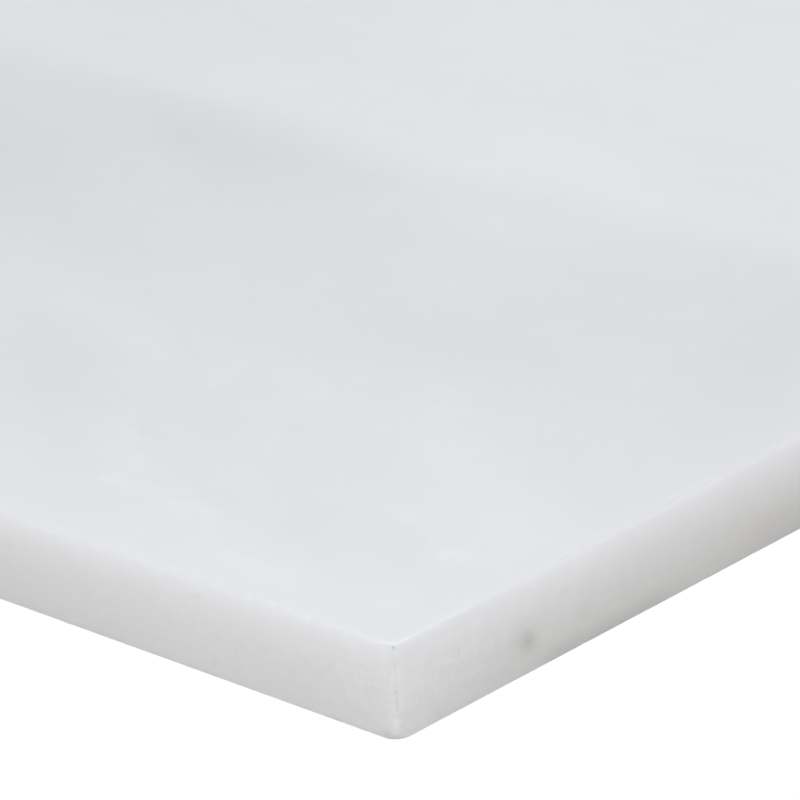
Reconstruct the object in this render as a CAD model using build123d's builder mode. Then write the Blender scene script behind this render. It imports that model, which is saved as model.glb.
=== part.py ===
# One rectangular marble subway tile, a single sawn piece of natural stone in
# the 1:2 format, lying on its back with the polished face up.
#
# Frame: millimetres, +Z up. The origin is the centre of the back face, +X runs
# along the length, +Y across the width, and the polished face is at z = thickness.
#
# The piece is cut square, then its edges are finished:
#   - a fine ground arris all round the polished face,
#   - a smaller broken edge round the sawn back,
#   - a fine break down each vertical edge,
#   - the foot of one vertical edge (+X, -Y) is worn blunt: a leaning cut that
#     starts at nothing a little above the back and is widest at the back face.
from build123d import *
import math
import os

# ---- driving dimensions, mm ----
length = 304.8        # 12 in
width = 152.4         # 6 in
thickness = 9.5       # 3/8 in nominal

face_arris = 0.20     # leg of the ground arris on the polished face
back_arris = 0.15     # leg of the broken edge round the back
edge_break = 0.20     # leg of the break down each vertical edge

blunt_leg = 0.95      # leg of the blunt foot's cut at the back face
blunt_height = 2.6    # height at which that cut dies out in the edge break

# ---- the tile ----
with BuildPart() as marble_tile:
    with BuildSketch(Plane.XY):
        Rectangle(length, width)
    extrude(amount=thickness)

    # breaks down the four vertical edges
    chamfer(marble_tile.edges().filter_by(Axis.Z), length=edge_break)

    # arris round the polished face
    chamfer(
        marble_tile.faces().sort_by(Axis.Z)[-1].edges(),
        length=face_arris,
    )

    # broken edge round the back
    chamfer(
        marble_tile.faces().sort_by(Axis.Z)[0].edges(),
        length=back_arris,
    )

    # blunt foot: a plane that leans out as it rises trims the +X, -Y edge
    corner_x, corner_y = length / 2, -width / 2
    back_depth = blunt_leg / math.sqrt(2)       # from the sharp edge, at the back
    break_depth = edge_break / math.sqrt(2)     # the edge break's own depth
    lean = (back_depth - break_depth) / blunt_height   # outwards per mm of height
    diagonal = Vector(1, -1, 0).normalized()
    on_plane = Vector(corner_x, corner_y, 0) - diagonal * back_depth
    normal = (diagonal - Vector(0, 0, 1) * lean).normalized()
    split(bisect_by=Plane(origin=on_plane, z_dir=normal), keep=Keep.BOTTOM)

marble_tile.part.label = "marble_tile"

os.makedirs("parts", exist_ok=True)
export_step(marble_tile.part, "parts/marble_tile.step")

box = marble_tile.part.bounding_box()
print("size", box.size, "volume", round(marble_tile.part.volume, 1))
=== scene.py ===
import math

import bpy
import numpy as np
from mathutils import Matrix, Vector, geometry


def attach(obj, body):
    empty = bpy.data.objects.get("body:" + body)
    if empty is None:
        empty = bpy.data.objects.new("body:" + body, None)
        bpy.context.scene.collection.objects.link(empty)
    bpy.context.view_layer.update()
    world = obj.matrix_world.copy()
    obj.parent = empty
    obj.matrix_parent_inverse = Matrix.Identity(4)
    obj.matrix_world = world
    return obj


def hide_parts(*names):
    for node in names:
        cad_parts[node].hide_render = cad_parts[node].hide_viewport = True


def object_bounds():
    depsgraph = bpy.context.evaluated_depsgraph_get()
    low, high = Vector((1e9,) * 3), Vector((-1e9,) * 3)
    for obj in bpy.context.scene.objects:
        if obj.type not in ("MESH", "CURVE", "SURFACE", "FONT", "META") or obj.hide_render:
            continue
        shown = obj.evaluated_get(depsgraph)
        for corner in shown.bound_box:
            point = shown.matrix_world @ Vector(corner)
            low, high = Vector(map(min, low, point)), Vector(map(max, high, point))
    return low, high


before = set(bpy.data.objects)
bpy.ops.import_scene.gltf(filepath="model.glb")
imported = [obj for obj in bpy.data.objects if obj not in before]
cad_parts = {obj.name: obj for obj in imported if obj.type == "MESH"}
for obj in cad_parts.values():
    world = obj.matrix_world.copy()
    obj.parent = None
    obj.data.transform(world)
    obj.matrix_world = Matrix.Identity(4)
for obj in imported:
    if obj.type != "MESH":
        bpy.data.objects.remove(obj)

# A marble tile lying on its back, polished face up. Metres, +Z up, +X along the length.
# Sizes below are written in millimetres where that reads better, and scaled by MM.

MM = 0.001
cad_low, cad_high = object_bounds()          # the CAD model's box
HX = cad_high.x / MM                     # half length, mm
HY = cad_high.y / MM                     # half width
T = cad_high.z / MM                      # thickness
SEED = 20417
rng = np.random.default_rng(SEED)


# ---------------------------------------------------------------- camera
# One corner of the tile, seen from above with a long lens held slightly off level.
AZIMUTH, ELEVATION, ROLL = 44.453, 23.209, 3.736      # degrees
CAMERA_AT = Vector((502.131, -429.612, 245.949)) * MM
FOCAL_PX = 6300.0                                     # in pixels of an 800 pixel frame

a, e, r = (math.radians(v) for v in (AZIMUTH, ELEVATION, ROLL))
forward = Vector((-math.sin(a) * math.cos(e), math.cos(a) * math.cos(e), -math.sin(e)))
level_right = Vector((math.cos(a), math.sin(a), 0.0))
level_up = level_right.cross(forward)
right = level_right * math.cos(r) - level_up * math.sin(r)
up = level_up * math.cos(r) + level_right * math.sin(r)
lens = bpy.data.cameras.new("camera")
camera = bpy.data.objects.new("camera", lens)
bpy.context.scene.collection.objects.link(camera)
camera.matrix_world = Matrix.Translation(CAMERA_AT) @ Matrix((right, up, -forward)).transposed().to_4x4()
lens.sensor_width = 36.0
lens.lens = FOCAL_PX * 36.0 / 800.0
lens.clip_start, lens.clip_end = 0.02, 200.0
lens.dof.use_dof = False
bpy.context.scene.camera = camera


# ---------------------------------------------------------------- the tile's shape
# The outline is a loop of stations, closest together beside the corner that the camera
# looks at. It is repeated at every height from the rim of the polished face, over the
# arris, down the side and round the broken edge to the rim of the back.
CORNERS = [(HX, -HY), (HX, HY), (-HX, HY), (-HX, -HY)]      # counter-clockwise, the near one first
LENGTHS = [2 * HY, 2 * HX, 2 * HY, 2 * HX]                  # of the edge that starts at each corner
STARTS = np.concatenate([[0.0], np.cumsum(LENGTHS)])
PERIMETER = float(STARTS[-1])

ARRIS = 0.15          # leg of the ground arris round the polished face, mm
FOOT = 0.12           # leg of the broken edge round the back
RADIUS = [0.17, 0.30, 0.36, 0.27]      # rounding of each vertical edge
WORN_RADIUS, WORN_HEIGHT = 1.50, 2.5   # the near edge's foot is worn round
SET_BACK = 0.22       # how far one face dies back where it meets the near edge

ARC_STEPS = 9         # round a corner
ZONE = 3.2            # beside each corner, where the stations fan out from its rounding
FINE, COARSE = 0.42, 1.7               # station spacing, mm
# the worn line is deepened with painted shade in the material
LINE = 0.13           # half width of the worn line down a vertical edge


def waves(shortest, longest, count):
    """A smooth random function of the distance round the tile, about -1 to 1, that closes on itself."""
    cycles = np.round(PERIMETER / np.exp(rng.uniform(np.log(shortest), np.log(longest), count)))
    phase = rng.uniform(0, 2 * np.pi, count)
    weight = rng.uniform(0.6, 1.0, count)
    weight /= np.sqrt((weight ** 2).sum() / 2) * 1.6

    def value(s):
        return (weight * np.sin(np.asarray(s, float)[..., None] * (2 * np.pi * cycles / PERIMETER) + phase)).sum(-1)
    return value


arris_slow, arris_fast = waves(7, 40, 8), waves(0.9, 3.5, 40)
foot_fast, face_bow = waves(1.2, 9, 30), waves(60, 200, 4)

# Small chips off the rims: (edge, distance along it, height, half width, half height, depth), mm
chips = [(3, LENGTHS[3] - d, T, w, 0.20, deep) for d, w, deep in (
    (2.1, .16, .04), (4.6, .22, .05), (6.3, .25, .05), (8.2, .28, .08), (10.3, .35, .11), (11.6, .20, .06),
    (12.6, .25, .07), (14.4, .42, .13), (15.7, .22, .07), (17.3, .25, .07), (21.5, .30, .06), (30.2, .30, .05))]
chips += [(0, d, T, w, 0.20, deep) for d, w, deep in (
    (3.1, .18, .04), (5.4, .20, .03), (7.7, .24, .05), (15.8, .30, .06), (24.4, .36, .07), (38.0, .36, .05))]
for edge in range(4):
    for _ in range(int(LENGTHS[edge] / 9)):
        at = rng.uniform(3, LENGTHS[edge] - 3)
        from_near = at if edge == 0 else LENGTHS[edge] - at if edge == 3 else 99.0
        if from_near > 30:
            chips.append((edge, at, T, rng.uniform(.16, .55), .20, rng.uniform(.03, .11)))
    for _ in range(int(LENGTHS[edge] / 18)):
        at = rng.uniform(3, LENGTHS[edge] - 3)
        from_near = at if edge == 0 else LENGTHS[edge] - at if edge == 3 else 99.0
        if from_near > 66:
            chips.append((edge, at, 0.0, rng.uniform(.4, 1.2), .22, rng.uniform(.03, .09)))

# Nicks down the vertical edges: (corner, height, half width, half height, depth)
nicks = [(0, 9.21, .20, .17, .12), (0, 7.35, .10, .20, .030), (0, 6.05, .12, .16, .030), (0, 5.34, .16, .11, .055),
         (0, 4.85, .15, .16, .055), (0, 4.10, .10, .30, .022), (0, 3.62, .12, .12, .040), (0, 3.18, .16, .12, .055),
         (0, 2.55, .12, .25, .030)]
for corner in (1, 2, 3):
    for _ in range(9):
        nicks.append((corner, rng.uniform(.6, T - .4), rng.uniform(.1, .25), rng.uniform(.12, .35), rng.uniform(.04, .14)))


def graded(stops, length):
    """Distances from 0 to length, whose spacing follows stops, a list of (distance, spacing)."""
    at, gap = zip(*stops)
    out = [0.0]
    while out[-1] < length:
        out.append(out[-1] + float(np.interp(out[-1], at, gap)))
    return np.array(out) * length / out[-1]


middles = []
for edge, n in enumerate(LENGTHS):
    stops = {0: [(0, FINE), (64, FINE), (84, COARSE), (n, COARSE)],
             3: [(0, COARSE), (n - 84, COARSE), (n - 64, FINE), (n, FINE)]}.get(edge, [(0, COARSE), (n, COARSE)])
    middles.append(graded(stops, n - 2 * ZONE)[1:-1] + ZONE)
fan = np.cumsum(np.geomspace(0.10, 0.42, 11))
fan /= fan[-1]


def chipped(edge, s, z):
    deep = np.zeros_like(s)
    for of_edge, at, height, wide, tall, d in chips:
        if of_edge == edge and np.abs(z - height).min() < 3 * tall:
            far = ((s - at) / wide) ** 2 + ((z - height) / tall) ** 2
            deep = np.maximum(deep, d * np.exp(-far ** 1.3))
    return deep


def nicked(corner, reach, z):
    deep = np.zeros_like(reach)
    for of_corner, height, wide, tall, d in nicks:
        if of_corner == corner:
            far = (reach / wide) ** 2 + ((z - height) / tall) ** 2
            deep = np.maximum(deep, d * np.exp(-far ** 1.2))
    return deep


def section(edge, s, row):
    """How far in from the sharp outline, and how high, a row runs at distances s along an edge."""
    kind, down, inward = row
    round_the_tile = STARTS[edge] + s
    if kind == "arris":
        leg = ARRIS + 0.020 * arris_slow(round_the_tile) + 0.022 * arris_fast(round_the_tile)
        z, inset = T - leg * down, leg * inward
    elif kind == "foot":
        leg = FOOT + 0.012 * foot_fast(round_the_tile)
        z, inset = leg * down, leg * inward
    else:
        z, inset = np.full_like(s, down), np.zeros_like(s)
    return inset + 0.008 * np.clip(1 + face_bow(round_the_tile), 0, 2) + chipped(edge, s, z), z


def rounding(corner, z, inset):
    r = RADIUS[corner]
    if corner == 0:
        r += WORN_RADIUS * max(0.0, (WORN_HEIGHT - z) / WORN_HEIGHT) ** 1.7
    return max(r - inset, 0.07)


def set_back(edge, from_end, z):
    """The face left of the near edge dies back just before it, less so at the worn foot."""
    return SET_BACK * np.exp(-(from_end / 1.6) ** 2) * np.clip(z / 3.0, 0, 1) if edge == 3 else 0.0 * from_end


def ring(row):
    """One loop of the outline, starting with the near corner's rounding: places, and how worn each is."""
    places, worn = [], []
    for edge in range(4):
        before, after = (edge - 1) % 4, (edge + 1) % 4
        n, start = LENGTHS[edge], np.array(CORNERS[edge], float)
        along = (np.array(CORNERS[after], float) - start) / n      # also inward from the edge before
        inward = np.array([-along[1], along[0]])
        zero = np.zeros(1)
        inset, z = (float(v[0]) for v in section(edge, zero, row))
        r = rounding(edge, z, inset)
        lean = float(np.ravel(set_back(before, np.array([inset + r]), z))[0])
        centre = start + along * (inset + lean + r) + inward * (inset + r)
        turn = math.pi / 2 * np.arange(ARC_STEPS + 1) / ARC_STEPS
        reach = np.abs(turn - math.pi / 4) * r
        deep = np.minimum(nicked(edge, reach, z), 0.8 * r)
        p = centre - (along * np.cos(turn)[:, None] + inward * np.sin(turn)[:, None]) * (r - deep)[:, None]
        places.append(np.c_[p, np.full(len(turn), z)])
        worn.append(np.c_[zero * turn, np.exp(-(reach / LINE) ** 2), deep / 0.12])
        # the straight between this rounding and the next one
        end_inset, end_z = (float(v[0]) for v in section(after, zero, row))
        end_r = rounding(after, end_z, end_inset)
        first, last = inset + lean + r, end_inset + end_r
        s = np.concatenate([first + (ZONE - first) * fan[:-1], middles[edge], n - (last + (ZONE - last) * fan[:-1][::-1])])
        s_inset, s_z = section(edge, s, row)
        from_start, to_end = s - first + math.pi / 4 * r, n - last - s + math.pi / 4 * end_r
        deep = 0.7 * (nicked(edge, from_start, s_z) + nicked(after, to_end, s_z))
        s_inset = s_inset + set_back(edge, n - s, s_z) + deep
        p = start + along * s[:, None] + inward * s_inset[:, None]
        places.append(np.c_[p, s_z])
        closest = np.minimum(from_start, to_end)
        worn.append(np.c_[np.minimum(chipped(edge, s, s_z) / 0.12, 1), np.exp(-(closest / LINE) ** 2), deep / 0.12])
    return np.concatenate(places), np.clip(np.concatenate(worn), 0, 1)


rows = []
for t in np.linspace(0, math.pi / 2, 7):        # between a flat 45 degree facet and a quarter round
    rows.append(("arris", 1 - math.cos(t) ** (2 / 1.4), 1 - math.sin(t) ** (2 / 1.4)))
for z in np.linspace(T - ARRIS, FOOT, 58)[1:-1]:
    rows.append(("side", float(z), 0.0))
for t in np.linspace(0, math.pi / 2, 6):
    rows.append(("foot", 1 - math.sin(t) ** (2 / 1.5), 1 - math.cos(t) ** (2 / 1.5)))
rings = [ring(row) for row in rows]
grid = np.array([places for places, _ in rings])                # rows x stations x 3, mm
worn = np.concatenate([w for _, w in rings])
n_rows, n_st = grid.shape[:2]
verts, faces = [grid.reshape(-1, 3)], []
for j in range(n_rows - 1):
    for i in range(n_st):
        k = (i + 1) % n_st
        faces.append((j * n_st + i, (j + 1) * n_st + i, (j + 1) * n_st + k, j * n_st + k))
n_side = len(faces)


def loop_points(inset, gap):
    x, y = HX - inset, HY - inset
    nx, ny = int(2 * x / gap), int(2 * y / gap)
    i, j = np.arange(nx) / nx, np.arange(ny) / ny
    return np.concatenate([np.c_[-x + 2 * x * i, np.full(nx, -y)], np.c_[np.full(ny, x), -y + 2 * y * j],
                           np.c_[x - 2 * x * i, np.full(nx, y)], np.c_[np.full(ny, -x), y - 2 * y * j]])


def cap(row, z, upward):
    """Fills a rim with triangles that grow towards the middle of the face."""
    global faces
    rim = grid[row, :, :2]
    inside = [loop_points(1.5, 2.2), loop_points(4.5, 5.0)]
    x, y = np.meshgrid(np.linspace(-(HX - 10), HX - 10, 34), np.linspace(-(HY - 10), HY - 10, 17))
    inside.append(np.c_[x.ravel(), y.ravel()])
    flat = [Vector(p) for p in np.concatenate([rim, *inside]).tolist()]
    found, _, triangles, sources, _, _ = geometry.delaunay_2d_cdt(
        flat, [(i, (i + 1) % n_st) for i in range(n_st)], [], 1, 1e-7)
    base, index, extra = sum(len(v) for v in verts), {}, []
    for k, source in enumerate(sources):
        on_rim = [s for s in source if s < n_st]
        if on_rim:
            index[k] = row * n_st + on_rim[0]
        else:
            index[k] = base + len(extra)
            extra.append((found[k].x, found[k].y, z))
    verts.append(np.array(extra, float))
    for f in triangles:
        p = [found[k] for k in f]
        area = sum(p[m].x * p[(m + 1) % 3].y - p[(m + 1) % 3].x * p[m].y for m in range(3))
        ids = [index[k] for k in f]
        faces.append(tuple(ids if (area > 0) == upward else ids[::-1]))


cap(0, T, True)
n_top = len(faces)
cap(n_rows - 1, 0.0, False)
points = np.concatenate(verts) * MM
mesh = bpy.data.meshes.new("marble_tile_body")
mesh.from_pydata(points.tolist(), [], faces)
tile = bpy.data.objects.new("marble_tile_body", mesh)
bpy.context.scene.collection.objects.link(tile)

# Smooth shading with area-weighted normals keeps the flat faces flat right up to the arris
normals = np.zeros_like(points)
quads, tris = np.array(faces[:n_side]), np.array(faces[n_side:])
across = np.cross(points[quads[:, 2]] - points[quads[:, 0]], points[quads[:, 3]] - points[quads[:, 1]])
for k in range(4):
    np.add.at(normals, quads[:, k], across)
across = np.cross(points[tris[:, 1]] - points[tris[:, 0]], points[tris[:, 2]] - points[tris[:, 0]])
for k in range(3):
    np.add.at(normals, tris[:, k], across)
normals /= np.linalg.norm(normals, axis=1)[:, None]
mesh.shade_smooth()
mesh.normals_split_custom_set_from_vertices(normals.tolist())
for k, name in enumerate(("chip", "edge", "nick")):
    layer = mesh.attributes.new(name, "FLOAT", "POINT")
    layer.data.foreach_set("value", np.concatenate([worn[:, k], np.zeros(len(points) - len(worn))]).astype(np.float32))

# A flat layout of the surface at one scale: the two faces, and the four sides as strips below them
SHEET, GAP = 345.0, 1.2
step = np.linalg.norm(np.diff(grid[20, :, :2], axis=0, append=grid[20, :1, :2]), axis=1)
round_it = np.concatenate([[0.0], np.cumsum(step)])                 # one more than there are stations
section_at = grid[:, len(step) // 3]
down_it = np.concatenate([[0.0], np.cumsum(np.linalg.norm(np.diff(section_at, axis=0), axis=1))])
per_edge = [ARC_STEPS + 1 + 2 * (len(fan) - 1) + len(m) for m in middles]
first_station = np.concatenate([[0], np.cumsum(per_edge)])
assert first_station[-1] == n_st
strips = []                                                         # (start of the strip on the sheet, distance it starts at)
left = {0: (GAP, 0), 2: (2 * GAP + 2 * HY + 1, 0), 1: (GAP, 1), 3: (GAP, 2)}
for edge in range(4):
    u0, line_no = left[edge]
    strips.append((u0, 4 * HY + 3 * GAP + line_no * (down_it[-1] + GAP), round_it[first_station[edge]]))
corner_uv = []
for index, f in enumerate(faces):
    if index < n_side:
        j, i = divmod(index, n_st)
        edge = int(np.searchsorted(first_station, i, side="right")) - 1
        u0, v0, since = strips[edge]
        a0, a1 = round_it[i] - since + u0, round_it[i + 1] - since + u0
        b0, b1 = down_it[j] + v0, down_it[j + 1] + v0
        corner_uv += [(a0, b0), (a0, b1), (a1, b1), (a1, b0)]
    else:
        on_top = index < n_top
        for v in f:
            x, y = points[v, 0] / MM, points[v, 1] / MM
            corner_uv.append((x + HX + GAP, y + HY + GAP) if on_top else (HX - x + GAP, y + 3 * HY + 2 * GAP))
sheet = mesh.uv_layers.new(name="OFBake")
sheet.uv.foreach_set("vector", (np.array(corner_uv) / SHEET).astype(np.float32).ravel())
print("tile mesh:", n_st, "stations,", n_rows, "rows,", n_side * 2 + len(tris), "triangles")

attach(tile, "root")
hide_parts("marble_tile")

# ---------------------------------------------------------------- the stone
class Graph:
    """Short names for making and joining shader nodes. Plain numbers go onto the sockets themselves."""

    def __init__(self, tree):
        self.tree = tree

    def put(self, socket, value):
        if isinstance(value, bpy.types.NodeSocket):
            self.tree.links.new(value, socket)
        elif value is not None:
            socket.default_value = value

    def node(self, kind, inputs=(), out=0, **settings):
        n = self.tree.nodes.new("ShaderNode" + kind)
        for name, value in settings.items():
            setattr(n, name, value)
        for key, value in dict(inputs).items():
            self.put(n.inputs[key], value)
        return n.outputs[out]

    def math(self, operation, *values):
        return self.node("Math", enumerate(values), operation=operation)

    def vector(self, operation, *values, out=0):
        return self.node("VectorMath", enumerate(values), operation=operation, out=out)

    def scaled(self, v, by):
        return self.vector("MULTIPLY", v, by)

    def smooth(self, value, start, end, low=0.0, high=1.0):
        return self.node("MapRange", {0: value, 1: start, 2: end, 3: low, 4: high}, interpolation_type="SMOOTHSTEP")

    def noise(self, vector, scale, detail=2.0, rough=0.5, lacunarity=2.0, dims="3D"):
        """Grey noise, about 0.5 on average, whose blobs are 1 / scale across."""
        return self.node("TexNoise", {"Vector": vector, "Scale": scale, "Detail": detail, "Roughness": rough,
                                      "Lacunarity": lacunarity}, noise_dimensions=dims)

    def split(self, v):
        n = self.tree.nodes.new("ShaderNodeSeparateXYZ")
        self.put(n.inputs[0], v)
        return n.outputs

    def tinted(self, factor, color, into, **settings):
        return self.node("Mix", {0: factor, 6: color, 7: into}, out=2, data_type="RGBA", **settings)

    def squares(self, x, y):
        """The terms that the ellipses in x and y are made of."""
        return (self.node("CombineXYZ", {0: self.math("MULTIPLY", x, x), 1: self.math("MULTIPLY", x, y),
                                         2: self.math("MULTIPLY", y, y)}),
                self.node("CombineXYZ", {0: x, 1: y, 2: 1.0}))

    def blob(self, terms, at, radii, angle=0.0):
        """1 at the middle of a soft ellipse, falling to nothing round it."""
        c, s = math.cos(math.radians(angle)), math.sin(math.radians(angle))
        p, q = 1 / radii[0] ** 2, 1 / radii[1] ** 2
        xx, xy, yy = c * c * p + s * s * q, c * s * (p - q), s * s * p + c * c * q
        x, y = xx * at[0] + xy * at[1], xy * at[0] + yy * at[1]
        second = self.vector("DOT_PRODUCT", terms[0], (-xx, -2 * xy, -yy), out=1)
        first = self.vector("DOT_PRODUCT", terms[1], (2 * x, 2 * y, -(x * at[0] + y * at[1])), out=1)
        return self.math("EXPONENT", self.math("ADD", second, first))

    def add_up(self, terms, start):
        """start plus each weight times its value."""
        total = start
        for value, weight in terms:
            total = self.math("MULTIPLY_ADD", value, weight, total)
        return total


# The stone is one block. Clouds, and the long grey band's upper border: its height y at each x, mm.
BORDER = [(-152, 17), (-126, 13), (-98, 7.5), (-66, 5.2), (-38, 7.2), (-12, 9.6), (12, 10.8), (36, 11.8), (52, 12.0),
          (63, 10.9), (88, 9.4), (98, 9.2), (105, 10.3), (117, 12.6), (124, 14.4), (138, 17.6), (152, 20)]

# Soft ellipses: middle, radii, turn, and how many grey levels darker
CLOUDS = [((50, 4.0), (17, 7), -12, 3.0),                    # dark lens under the border
          ((40, -14), (26, 9), -38, 4.2),
          ((60, -3), (8, 5), -20, 1.0),
          ((66, -22), (15, 8), -38, 1.4),
          ((104, 5), (15, 4.5), 4, -2.6),                    # ribbon across the band
          ((98, -11), (9, 4), -20, -1.8),
          ((112, -23), (15, 5), 0, 1.9),
          ((138, -7), (17, 6.5), -68, 2.3),
          ((92, 1), (15, 6), -22, -3.3),                     # paler gaps in it
          ((74, -36), (12, 3.5), -20, -1.2),
          ((81, -48.5), (16, 7), -38, 4.0),
          ((90, -38), (5, 2.5), -28, 0.8),
          ((103, -50), (10, 6), -30, 1.3),
          ((136, -46), (12, 5.5), -24, -3.3),                # pale clouds by the near corner
          ((125, -39), (9, 3), -30, -1.4),
          ((146, -57), (6, 8), -10, -2.0),
          ((127.5, -61.5), (7, 3.2), -35, 1.5),
          ((95.8, -61.7), (2.2, 1.6), -40, 1.6),
          ((136, -44), (5, 3), -30, 0.9),
          ((136, -74), (26, 8), 0, -2.3),
          ((92, 19), (15, 5), -10, -2.1),
          ((12, 34), (36, 34), 0, 3.0),
          ((60, 48), (14, 9), 0, -1.3),
          ((-58, -8), (22, 8), 16, 4.4),                     # the other half
          ((-22, -24), (26, 7), -24, 3.2),
          ((-96, -30), (30, 8), -30, 3.8),
          ((-128, 2), (18, 7), 22, 3.4),
          ((-84, 22), (26, 9), 8, -1.6),
          ((-112, 52), (34, 12), 20, 2.8),
          ((-44, 58), (28, 8), 12, 1.6),
          ((-66, -56), (24, 8), -14, -2.2)]
# Pale ragged wisps where the band ends, and one bright thread with a white knot at its end
WISPS = [((98, -56.5), (3.6, 1.7), -35, 1.2), ((104, -61.5), (5.0, 2.0), -38, 2.2), ((108, -65.5), (3.4, 1.4), -30, 2.4),
         ((113.2, -64.7), (5.0, 1.4), -20, 1.8), ((118.8, -66.9), (5.0, 1.4), -14, 2.2), ((132, -72), (8, 1.5), -8, 1.6),
         ((76, -37.2), (6.5, 1.9), -14, 1.0), ((86, -39.5), (5.0, 1.6), -25, 1.2), ((99, -43), (5.0, 1.6), -28, 1.6),
         ((107, -39), (3.6, 1.6), -30, 1.7), ((122, -34), (5.5, 1.7), -14, 1.9), ((135, -28), (4.0, 1.5), 18, 0.5),
         ((92, -62.5), (4.0, 2.2), -40, 0.8), ((118, -58), (5.0, 1.6), -30, 1.2), ((112, -50), (4.0, 1.4), -40, 1.0),
         ((145, -68), (5.0, 1.6), -70, 1.2), ((142, -36), (4.0, 1.4), -30, 0.6),
         ((90, -57), (2.6, 1.0), -50, -2.4), ((101, -55.5), (2.0, 0.9), -45, -1.2), ((120, -54), (4.0, 1.6), -30, -1.3),
         ((143, -64), (3.5, 1.6), -40, -1.4), ((94.1, -63.4), (1.3, 0.9), -40, 1.8),
         ((105.6, -61.6), (1.7, 0.9), -45, 1.5),
         ((-20, -60), (12, 1.6), -18, 2.2), ((-48, -66), (14, 1.4), -8, 1.8), ((30, -66), (12, 1.8), -22, 2.0),
         ((8, -52), (6, 1.8), -30, 1.6), ((52, -60), (7, 1.8), -28, 1.8), ((-104, -50), (10, 1.8), 20, 2.2)]
THREAD = [((134.6, -54.5), (2.4, 1.0), -28, 2.6), ((139.6, -57.0), (4.2, 0.80), -30, 1.8), ((143.1, -59.4), (1.4, 1.0), 80, 4.2),
          ((144.8, -59.1), (1.9, 1.4), 0, 2.3)]

# Spots in the two sides beside the near corner: place and height, radii, turn, and how many grey levels darker
END_SPOTS = [((-65.2, 8.9), (4.5, 1.0), 0, 1.6), ((-53.6, 6.25), (0.62, 0.50), 20, 4.5), ((-51.1, 3.1), (0.85, 0.70), 0, 3.5), ((-67.75, 5.65), (0.20, 0.36), -8, 9.0),
             ((-59.15, 3.65), (1.45, 1.50), 0, 8.6), ((-69.30, 5.28), (0.95, 0.11), -11, -4.0), ((-68.2, 4.75), (0.60, 0.09), -15, -2.0),
             ((-75.4, 4.9), (0.80, 1.30), 0, 3.0)]
# The last front spot, at the foot of the near corner, is painted shade under the worn foot
FRONT_SPOTS = [((128.4, 7.75), (0.52, 0.24), 0, 6.0), ((127.5, 7.45), (0.60, 0.22), 0, 2.5), ((132.9, 3.3), (0.40, 0.35), 0, 3.0),
               ((129.8, 1.55), (0.45, 0.35), 0, 2.5), ((149.8, 4.65), (0.55, 0.30), 0, 2.5), ((HX - 1.1, 0.20), (0.78, 0.45), 0, 17.0)]

_t = np.linspace(-1, 1, 400)
RIM = np.concatenate([np.c_[HX * _t, -HY + 0 * _t], np.c_[HX * _t, HY + 0 * _t], np.c_[-HX + 0 * _t, HY * _t], np.c_[HX + 0 * _t, HY * _t]])


def at_rim(ellipses, reach):
    """Those that show at the tile's sides, given how far the warp may move them."""
    return [e for e in ellipses if min(np.hypot(*(RIM - e[0]).T)) < 1.9 * max(e[1]) + reach]


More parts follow.
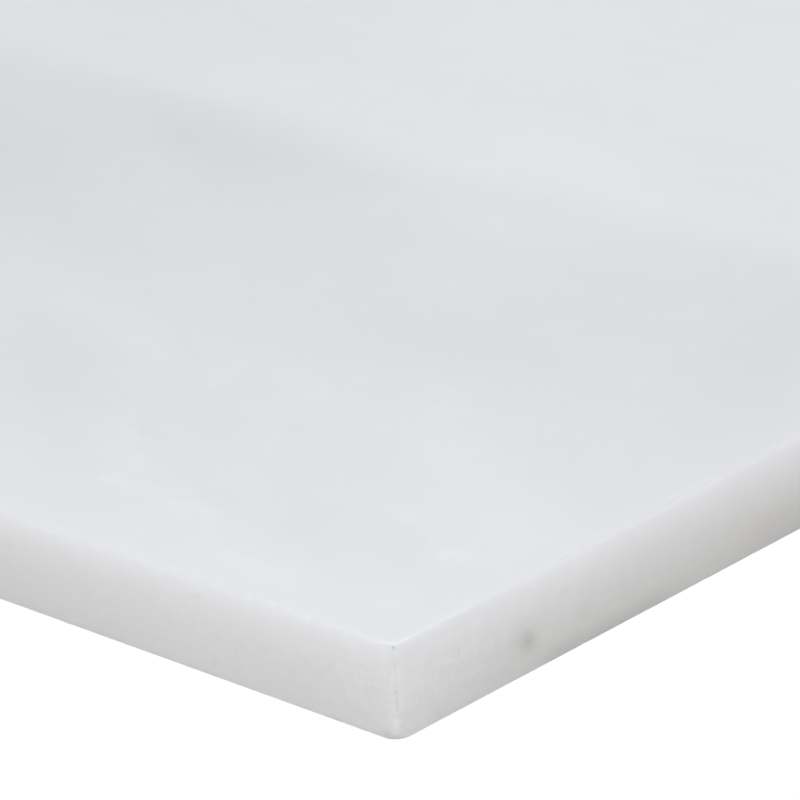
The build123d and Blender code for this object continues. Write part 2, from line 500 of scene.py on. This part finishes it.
def make_stone(name, on):
    """The marble as seen on one kind of surface: the polished face, the sides or the sawn back.

    Where two of them meet they have the same value. Grey levels count down from the whitest stone."""
    stone = bpy.data.materials.new(name)
    stone.use_nodes = True
    g = Graph(stone.node_tree)
    shader = stone.node_tree.nodes["Principled BSDF"]
    face, sides, sawn = on == "face", on == "sides", on == "back"

    here = g.scaled(g.node("TexCoord", out=3), (1000, 1000, 1000))             # millimetres
    X, Y, Z = g.split(here)
    depth = g.math("SUBTRACT", T, Z)                                            # below the polished face
    from_x_end = g.math("SUBTRACT", HX, g.math("ABSOLUTE", X))
    from_y_side = g.math("SUBTRACT", HY, g.math("ABSOLUTE", Y))
    from_rim = g.math("MINIMUM", from_x_end, from_y_side)
    from_corner = g.math("MAXIMUM", from_x_end, from_y_side)                    # along a side, from its nearer vertical edge
    if sides:
        polished = g.smooth(depth, 0.10, 0.01)
        back = g.smooth(Z, 0.10, 0.01)
        side = g.math("SUBTRACT", 1.0, g.math("MAXIMUM", polished, back))
        along_end = g.math("ADD", Y, HY)                                        # from the near edge, along each face beside it
        along_front = g.math("SUBTRACT", HX, X)
        on_near_end = g.math("MULTIPLY", g.smooth(X, HX - 1.2, HX - 0.4), side)
        on_front = g.math("MULTIPLY", g.smooth(Y, 1.2 - HY, 0.4 - HY), side)

    # clouds slant down through the thickness and are gently warped
    slant = g.node("CombineXYZ", {0: g.math("MULTIPLY_ADD", depth, 0.25, X), 1: g.math("MULTIPLY_ADD", depth, 0.45, Y), 2: Z})
    warp = g.node("TexNoise", {"Vector": slant, "Scale": 0.045, "Detail": 2.0, "Roughness": 0.55}, out=1)
    warp = g.vector("SUBTRACT", warp, (0.5, 0.5, 0.5))
    block = g.vector("MULTIPLY_ADD", warp, (4.2, 4.2, 2.0), slant)
    bx, by, _ = g.split(block)
    plan = g.squares(bx, by)
    curve = stone.node_tree.nodes.new("ShaderNodeFloatCurve")
    line = curve.mapping.curves[0]
    for k, (x, y) in enumerate(BORDER):
        at = (min(max((x + HX) / (2 * HX), 0.0), 1.0), y / 25.0)
        if k in (0, len(BORDER) - 1):
            line.points[0 if k == 0 else -1].location = at
        else:
            line.points.new(*at)
    curve.mapping.update()
    g.put(curve.inputs["Value"], g.node("MapRange", {0: bx, 1: -HX, 2: HX, 3: 0.0, 4: 1.0}))
    above = g.math("MULTIPLY_ADD", curve.outputs[0], -25.0, by)                 # mm above the band's upper border
    band = g.math("MULTIPLY", g.smooth(above, 5.0, -5.8), g.smooth(above, -88.0, 0.0))
    streaks = g.noise(g.scaled(block, (0.35, 1.0, 0.6)), 0.10, 3.0, 0.55)
    clouds = g.noise(block, 0.030, 2.0, 0.5)
    fine = g.noise(block, 0.22, 3.0, 0.6)
    grey = g.add_up([(streaks, 3.5), (clouds, 2.5), (fine, 2.6)], g.math("MULTIPLY_ADD", band, 5.7, BASE - 4.3))
    grey = g.add_up([(g.blob(plan, *e[:3]), e[3]) for e in (at_rim(CLOUDS, 5) if sides else CLOUDS)], grey)

    torn = g.node("TexNoise", {"Vector": block, "Scale": 0.30, "Detail": 2.0, "Roughness": 0.65}, out=1)
    torn = g.vector("MULTIPLY_ADD", g.vector("SUBTRACT", torn, (0.5, 0.5, 0.5)), (10.0, 6.6, 0.0), block)
    tx, ty, _ = g.split(torn)
    torn_plan = g.squares(tx, ty)
    ragged = g.smooth(g.noise(g.scaled(block, (0.55, 1.0, 0.8)), 0.42, 2.0, 0.65), 0.38, 0.62)
    wisps = g.add_up([(g.blob(torn_plan, *e[:3]), e[3]) for e in (at_rim(WISPS, 7) if sides else WISPS)], 0.0)
    grey = g.math("SUBTRACT", grey, g.math("MULTIPLY", wisps, g.math("MULTIPLY_ADD", ragged, 0.9, 0.4)))
    if not sides:
        nudged = g.squares(*(g.math("MULTIPLY_ADD", g.math("SUBTRACT", t, b), 0.45, b) for t, b in ((tx, bx), (ty, by))))
        grey = g.add_up([(g.blob(nudged, *e[:3]), -e[3]) for e in THREAD], grey)

    # The polished face has a painted glow along its rim, a little lighter where light gets in from two sides, and a
    # thin strip of painted shade right at the rim.
    # The arris itself is ground; painted shade takes its highlight down, apart from painted glints where crystals catch
    # the light by the near corner.
    if not sawn:
        painted_rim_glow = g.math("EXPONENT", g.math("MULTIPLY", from_rim, -1 / 6.0))
        painted_rim_shade = g.math("EXPONENT", g.math("MULTIPLY", g.math("POWER", g.math("MULTIPLY", from_rim, 1 / 0.75), 1.2), -1.0))
        painted_rim_shade = g.math("MULTIPLY", painted_rim_shade, g.smooth(Y, 0.9 - HY, 0.3 - HY, 2.4, 4.0))
        painted_rim_light = g.math("MULTIPLY_ADD", painted_rim_glow, -0.7, painted_rim_shade)
        grey = g.math("MULTIPLY_ADD", painted_rim_light, polished, grey) if sides else g.math("ADD", grey, painted_rim_light)
    if sides:
        # painted shade on the arris takes its highlight down, more along the long front than on the others
        painted_arris_shade = g.math("EXPONENT", g.math("MULTIPLY", g.math("POWER", g.math("MULTIPLY", depth, 1 / 0.20), 1.5), -1.0))
        painted_arris_shade = g.math("MULTIPLY", painted_arris_shade, g.math("MULTIPLY", g.smooth(depth, 0.0, 0.05), g.smooth(Y, 0.7 - HY, 0.3 - HY, ARRIS_SHADE, ARRIS_SHADE_FRONT)))
        painted_arris_shade = g.math("MULTIPLY", painted_arris_shade, g.smooth(from_corner, 0.5, 4.0, 0.45, 1.0))
        # painted highlight: dotted glints on the arris near the corner, where its crystals catch the light
        glint_dots = g.smooth(g.noise(here, 1.3, 2.0, 0.6), 0.42, 0.60)
        glint = g.math("MULTIPLY", g.smooth(depth, 0.30, 0.15), g.smooth(from_corner, 22.0, 4.0))
        glint = g.math("MULTIPLY", g.math("MULTIPLY", glint, g.smooth(depth, 0.0, 0.04)), g.math("MULTIPLY_ADD", glint_dots, 0.5, 0.5))
        grey = g.math("SUBTRACT", g.math("ADD", grey, painted_arris_shade), g.math("MULTIPLY", glint, g.smooth(Y, 0.7 - HY, 0.3 - HY, GLINT, GLINT_FRONT)))

    if sides:
        # The sides carry painted light: a painted glow under the arris, where light that entered above comes out again,
        # and beside the vertical edges; painted shade makes them greyer below and along the end, and near the top
        # beside the corner; lit_corner is a small painted light patch at the front's corner
        under_arris = g.math("EXPONENT", g.math("MULTIPLY", g.math("POWER", g.math("MULTIPLY", depth, 1 / 3.5), 1.7), -1.0))
        beside_edge = g.math("MULTIPLY", g.math("EXPONENT", g.math("MULTIPLY", from_corner, -1 / 4.0)), g.smooth(depth, 1.0, 5.5))
        top_of_side = g.smooth(depth, 4.5, 0.5)
        shaded = g.math("MULTIPLY", g.smooth(along_end, 2.0, 24.0), g.smooth(along_end, 120.0, 70.0))
        shaded = g.math("MULTIPLY", g.math("MULTIPLY", shaded, on_near_end), g.smooth(depth, 2.0, 9.5))
        corner_end = g.math("MULTIPLY", g.math("EXPONENT", g.math("MULTIPLY", along_end, -1 / 9.0)),
                            g.math("MULTIPLY", top_of_side, on_near_end))
        corner_front = g.math("MULTIPLY", g.math("EXPONENT", g.math("MULTIPLY", along_front, -1 / 3.0)),
                              g.math("MULTIPLY", top_of_side, on_front))
        top_end = g.math("MULTIPLY", on_near_end, g.smooth(depth, 1.6, 0.3))
        top_front = g.math("MULTIPLY", on_front, g.math("MULTIPLY", g.smooth(depth, 0.12, 0.35), g.smooth(depth, 1.4, 0.5)))
        lit_corner = g.math("MULTIPLY", g.math("MULTIPLY", g.smooth(depth, 0.15, 0.35), g.smooth(depth, 1.5, 1.0)),
                            g.math("MULTIPLY", on_front, g.smooth(along_front, 1.5, 0.6)))
        painted_side_light = g.add_up([(under_arris, -17.8), (top_front, 2.8), (top_end, 2.0), (beside_edge, -6.0), (shaded, 6.0),
                              (corner_end, 7.0), (corner_front, 1.8), (lit_corner, -3.6)], SIDE)
        grey = g.math("MULTIPLY_ADD", side, painted_side_light, grey)

        # The foot is darker: a thin line along it is painted contact shade where the tile meets the floor, and one
        # stretch of the end is darker at its foot and lower down
        foot_noise = g.noise(g.scaled(here, (1, 1, 0.4)), 0.55, 2.0, 0.6)
        foot_shade_line = g.math("MULTIPLY", g.smooth(Z, 0.55, 0.22), g.math("MULTIPLY", side, g.smooth(from_corner, 0.8, 3.0)))
        # one stretch of the end is darker at and right along its foot, and lower down further along
        dark_stretch = g.math("MULTIPLY", g.math("MULTIPLY", g.smooth(along_end, 17.0, 21.5), g.smooth(along_end, 42.0, 33.0)), on_near_end)
        dark_stretch_foot = g.math("MULTIPLY", dark_stretch, g.smooth(Z, 2.3, 0.1))
        dark_stretch_line = g.math("MULTIPLY", dark_stretch, g.smooth(Z, 0.30, 0.08))
        dark_stretch_low = g.math("MULTIPLY", g.math("MULTIPLY", g.smooth(along_end, 44.0, 53.0), g.smooth(along_end, 96.0, 66.0)),
                           g.math("MULTIPLY", on_near_end, g.smooth(depth, 4.2, 7.4)))
        # painted shade on one side of the crease in the worn foot
        crease_shade = g.smooth(g.math("SUBTRACT", along_front, along_end), 0.15, -0.15)
        crease_shade = g.math("MULTIPLY", g.math("MULTIPLY", crease_shade, g.math("EXPONENT", g.math("MULTIPLY", along_end, -1 / 1.3))),
                        g.math("MULTIPLY", g.smooth(Z, 3.6, 2.2), g.math("MULTIPLY", g.smooth(along_front, 2.0, 1.0), side)))
        grey = g.add_up([(g.math("MULTIPLY", foot_shade_line, g.math("MULTIPLY_ADD", g.smooth(foot_noise, 0.40, 0.62), 5.0, 0.0)), 1.0),
                         (dark_stretch_foot, 7.6), (dark_stretch_line, 5.0), (dark_stretch_low, 5.0), (crease_shade, 4.5)], grey)

        # Saw marks and mottling, for the sides were cut and never polished
        lengthwise = g.scaled(here, (0.22, 0.22, 2.6))
        saw = g.math("SUBTRACT", g.noise(lengthwise, 1.0, 2.0, 0.55), 0.5)
        mottle = g.math("SUBTRACT", g.noise(here, 0.75, 2.0, 0.6), 0.5)
        crystals = g.math("SUBTRACT", g.noise(here, 2.3, 2.0, 0.65), 0.5)
        near = g.math("EXPONENT", g.math("MULTIPLY", from_corner, -1 / 14.0))
        lively = g.math("MULTIPLY", g.math("MULTIPLY_ADD", near, 0.9, 0.34), g.smooth(depth, 0.5, 4.0, 0.35, 1.0))
        grain = g.add_up([(mottle, 9.0), (crystals, 9.0)], 0.0)
        grain = g.math("MULTIPLY_ADD", grain, lively, g.math("MULTIPLY", saw, 3.0))
        grey = g.math("MULTIPLY_ADD", grain, side, grey)

        # Inclusions near the corner: grey and brown spots, and pale scratches; the dark spot at the foot of the near
        # corner is painted shade
        end_plan, front_plan = g.squares(Y, Z), g.squares(X, Z)
        stain = g.math("MULTIPLY", on_near_end, g.blob(end_plan, (-58.72, 3.02), (0.90, 0.76)))
        warm_patch = g.math("MULTIPLY", on_near_end, g.blob(end_plan, (-26.0, 2.4), (9.0, 2.4)))
        in_end = g.add_up([(g.blob(end_plan, *e[:3]), e[3]) for e in END_SPOTS], 0.0)
        in_front = g.add_up([(g.blob(front_plan, *e[:3]), e[3]) for e in FRONT_SPOTS], 0.0)
        grey = g.add_up([(in_end, on_near_end), (in_front, on_front), (stain, 9.0)], grey)

        # Chips on the arris are fresh white crystal. The vertical edges are worn along a thin grey line, deepened with
        # painted shade where the rounded edge would catch light, and the nicks are darkened with painted shade.
        chip, edge, nick = (g.node("Attribute", attribute_name=n, out=2) for n in ("chip", "edge", "nick"))
        dashes = g.smooth(g.noise(here, 1.7, 2.0, 0.6), 0.40, 0.60)
        wear_and_shade = g.math("MULTIPLY", g.math("MULTIPLY", edge, g.smooth(Z, T - 0.16, T - 0.36)),
                      g.math("MULTIPLY", g.math("MULTIPLY", g.smooth(Z, 1.8, 3.4), g.smooth(Z, 9.0, 7.6, 0.6, 1.0)),
                             g.math("MULTIPLY_ADD", dashes, 0.35, 0.65)))
        grey = g.add_up([(chip, -CHIP), (wear_and_shade, WEAR_AND_SHADE), (nick, NICK_SHADE), (back, BACK_MEAN)], grey)

    if sawn:
        # A big blade left faint arcs across the whole back, and grey saw dust is rubbed into them
        cx, cy = g.math("ADD", X, 430.0), g.math("ADD", Y, 120.0)
        reach = g.vector("LENGTH", g.node("CombineXYZ", {0: cx, 1: cy}), out=1)
        along_arc = g.node("CombineXYZ", {0: g.math("MULTIPLY", reach, 0.62), 1: g.math("MULTIPLY", g.math("ARCTAN2", cy, cx), 3.2)})
        arcs = g.math("SUBTRACT", g.noise(along_arc, 1.0, 4.0, 0.62), 0.5)
        deep_arcs = g.smooth(g.noise(g.scaled(along_arc, (0.23, 1.6, 1.0)), 1.0, 1.0, 0.5), 0.60, 0.72)
        dust = g.noise(here, 0.055, 4.0, 0.6)
        pores = g.smooth(g.noise(here, 1.1, 2.0, 0.5), 0.66, 0.76)
        crystals = g.math("SUBTRACT", g.noise(here, 2.3, 2.0, 0.65), 0.5)
        grey = g.add_up([(arcs, 9.0), (deep_arcs, 3.0), (g.smooth(dust, 0.40, 0.68), 4.5), (pores, 5.0)],
                        g.math("ADD", grey, 4.0))

    # Tiny dark specks, far apart, on every face
    cells = stone.node_tree.nodes.new("ShaderNodeTexVoronoi")
    cells.voronoi_dimensions = "2D"
    g.put(cells.inputs["Vector"], g.node("CombineXYZ", {0: g.math("ADD", X, Y), 1: Z}) if sides else
          g.vector("ADD", here, (7.3, 19.1, 3.7)))
    cells.inputs["Scale"].default_value = 0.085
    rare = g.node("SeparateColor", {0: cells.outputs["Color"]})
    grey = g.math("MULTIPLY_ADD", g.math("MULTIPLY", g.smooth(cells.outputs["Distance"], 0.034, 0.012), g.smooth(rare, 0.80, 0.85)),
                  2.2, grey)

    # From grey levels to colours: cool white above and in the painted glow on the sides, neutral lower down, warm where
    # the end has painted shade and low along it, brown in the spot
    value = g.math("MULTIPLY_ADD", grey, -0.0102, 1.0)
    if face:
        toned = g.node("VectorMath", {0: COOL[:3], 3: value}, operation="SCALE")
    elif sawn:
        toned = g.node("VectorMath", {0: SAWN[:3], 3: value}, operation="SCALE")
    else:
        by_edge = g.math("EXPONENT", g.math("MULTIPLY", g.math("POWER", g.math("MULTIPLY", from_corner, 1 / 2.6), 2.0), -1.0))
        cool_side = g.math("MULTIPLY", side, g.math("MAXIMUM", g.smooth(depth, 4.4, 1.4), g.math(
            "MULTIPLY", by_edge, g.smooth(Z, 0.5, 2.0, 0.0, 0.85))))
        cool = g.math("MAXIMUM", polished, g.math("MULTIPLY", side, g.smooth(depth, 1.7, 0.6)))
        warm = g.math("MULTIPLY", g.math("MAXIMUM", g.math("MULTIPLY", shaded, 0.7), g.math("MAXIMUM", warm_patch, dark_stretch_foot)), 0.95)
        white = g.tinted(cool_side, NEUTRAL, COOLER)
        white = g.tinted(cool, white, COOL)
        white = g.tinted(back, white, SAWN)
        white = g.tinted(warm, white, WARM)
        toned = g.node("VectorMath", {0: white, 3: value}, operation="SCALE")
        toned = g.tinted(stain, toned, RUST, blend_type="MULTIPLY")
    g.put(shader.inputs["Base Color"], toned)

    # The face has its polish, the cut faces don't. Relief is in millimetres.
    if face:
        polish_haze = g.noise(block, 0.06, 2.0, 0.6)
        g.put(shader.inputs["Roughness"], g.math("MULTIPLY_ADD", polish_haze, 0.10, 0.19))
    if sides:
        gloss_noise = g.math("SUBTRACT", g.noise(here, 0.9, 2.0, 0.6), 0.5)
        g.put(shader.inputs["Roughness"], g.add_up([(side, 0.17), (back, 0.36), (g.math("MULTIPLY", side, gloss_noise), 0.22),
                                                    (nick, 0.15)], 0.24))
        relief = g.math("MULTIPLY", side, g.add_up([(saw, 0.014), (crystals, 0.016)], 0.0))
        g.put(shader.inputs["Normal"], g.node("Bump", {"Height": relief, "Distance": MM, "Strength": 1.0}))
    if sawn:
        g.put(shader.inputs["Roughness"], g.math("MULTIPLY_ADD", crystals, 0.22, 0.60))
        relief = g.add_up([(arcs, 0.10), (deep_arcs, -0.05), (pores, -0.05), (crystals, 0.03)], 0.0)
        g.put(shader.inputs["Normal"], g.node("Bump", {"Height": relief, "Distance": MM, "Strength": 1.0}))

    shader.inputs["IOR"].default_value = 1.49
    shader.inputs["Subsurface Weight"].default_value = 1.0
    shader.inputs["Subsurface Radius"].default_value = (1.0, 0.98, 0.96)
    shader.inputs["Subsurface Scale"].default_value = 0.0010
    return stone


BASE, SIDE, BACK_MEAN = 4.5, 6.2, 6.0         # grey levels of the polished face, and added on the sides and the back
# The first four are painted shade and painted glints on the arris; the last two darken the vertical edges and their
# nicks, partly with painted shade
ARRIS_SHADE, ARRIS_SHADE_FRONT, GLINT, GLINT_FRONT, CHIP, WEAR_AND_SHADE, NICK_SHADE = 17.0, 22.0, 10.5, 4.3, 5.0, 17.5, 26.0
NEUTRAL, COOLER, COOL = (0.815, 0.815, 0.815, 1), (0.815, 0.8155, 0.8315, 1), (0.815, 0.8223, 0.8410, 1)
SAWN, WARM, RUST = (0.815, 0.811, 0.800, 1), (0.822, 0.811, 0.799, 1), (1.0, 0.953, 0.920, 1)
for made in (make_stone("marble_sides", "sides"), make_stone("marble_polished", "face"), make_stone("marble_sawn", "back")):
    mesh.materials.append(made)
kinds = np.zeros(len(faces), np.int32)
kinds[n_side:n_top], kinds[n_top:] = 1, 2
mesh.polygons.foreach_set("material_index", kinds)

# ---------------------------------------------------------------- floor, world and lights
floor_mesh = bpy.data.meshes.new("floor")
floor_mesh.from_pydata([(-60, -60, 0), (60, -60, 0), (60, 60, 0), (-60, 60, 0)], [], [(0, 1, 2, 3)])
floor = bpy.data.objects.new("floor", floor_mesh)
floor.location.z = -0.00005
bpy.context.scene.collection.objects.link(floor)
paper = bpy.data.materials.new("floor_white")
paper.use_nodes = True
paper.cycles.emission_sampling = "NONE"
nt = paper.node_tree
nt.nodes.clear()
out = nt.nodes.new("ShaderNodeOutputMaterial")
mix = nt.nodes.new("ShaderNodeMixShader")
path = nt.nodes.new("ShaderNodeLightPath")
dif = nt.nodes.new("ShaderNodeBsdfDiffuse")
emi = nt.nodes.new("ShaderNodeEmission")
dif.inputs["Color"].default_value = (0.70, 0.70, 0.70, 1)
lit = nt.nodes.new("ShaderNodeEmission")            # a light table: it also lights the foot of the tile
lit.inputs["Strength"].default_value = 0.16
both = nt.nodes.new("ShaderNodeAddShader")
nt.links.new(dif.outputs[0], both.inputs[0])
nt.links.new(lit.outputs[0], both.inputs[1])
emi.inputs["Color"].default_value = (1, 1, 1, 1)
emi.inputs["Strength"].default_value = 1.02
nt.links.new(path.outputs["Is Camera Ray"], mix.inputs[0])
nt.links.new(both.outputs[0], mix.inputs[1])
nt.links.new(emi.outputs[0], mix.inputs[2])
nt.links.new(mix.outputs[0], out.inputs[0])
floor_mesh.materials.append(paper)

world = bpy.data.worlds.new("world")
bpy.context.scene.world = world
world.use_nodes = True
wt = world.node_tree
bg = wt.nodes["Background"]
bg.inputs[0].default_value = (1.0, 1.0, 1.0, 1)
bg.inputs[1].default_value = 0.6
bg2 = wt.nodes.new("ShaderNodeBackground")
bg2.inputs[0].default_value = (1, 1, 1, 1)
bg2.inputs[1].default_value = 1.02
wp = wt.nodes.new("ShaderNodeLightPath")
wm = wt.nodes.new("ShaderNodeMixShader")
wt.links.new(wp.outputs["Is Camera Ray"], wm.inputs[0])
wt.links.new(bg.outputs[0], wm.inputs[1])
wt.links.new(bg2.outputs[0], wm.inputs[2])
wt.links.new(wm.outputs[0], wt.nodes["World Output"].inputs[0])


def softbox(name, at, size, power, color=(1, 1, 1)):
    light = bpy.data.lights.new(name, "AREA")
    light.shape = "RECTANGLE"
    light.size, light.size_y = size
    light.energy = power
    light.color = color
    o = bpy.data.objects.new(name, light)
    o.location = at
    o.rotation_mode = "QUATERNION"
    o.rotation_quaternion = Vector(at).to_track_quat("Z", "Y")
    bpy.context.scene.collection.objects.link(o)
    return o


softbox("overhead", (-0.4, 0.2, 2.6), (2.4, 2.4), 32)
softbox("from_left", (-1.2, -2.4, 0.9), (1.6, 1.2), 6)
softbox("from_right", (2.5, -0.7, 0.9), (1.6, 1.2), 8.5)

view = bpy.context.scene.view_settings
view.view_transform = "Standard"
view.look = "None"
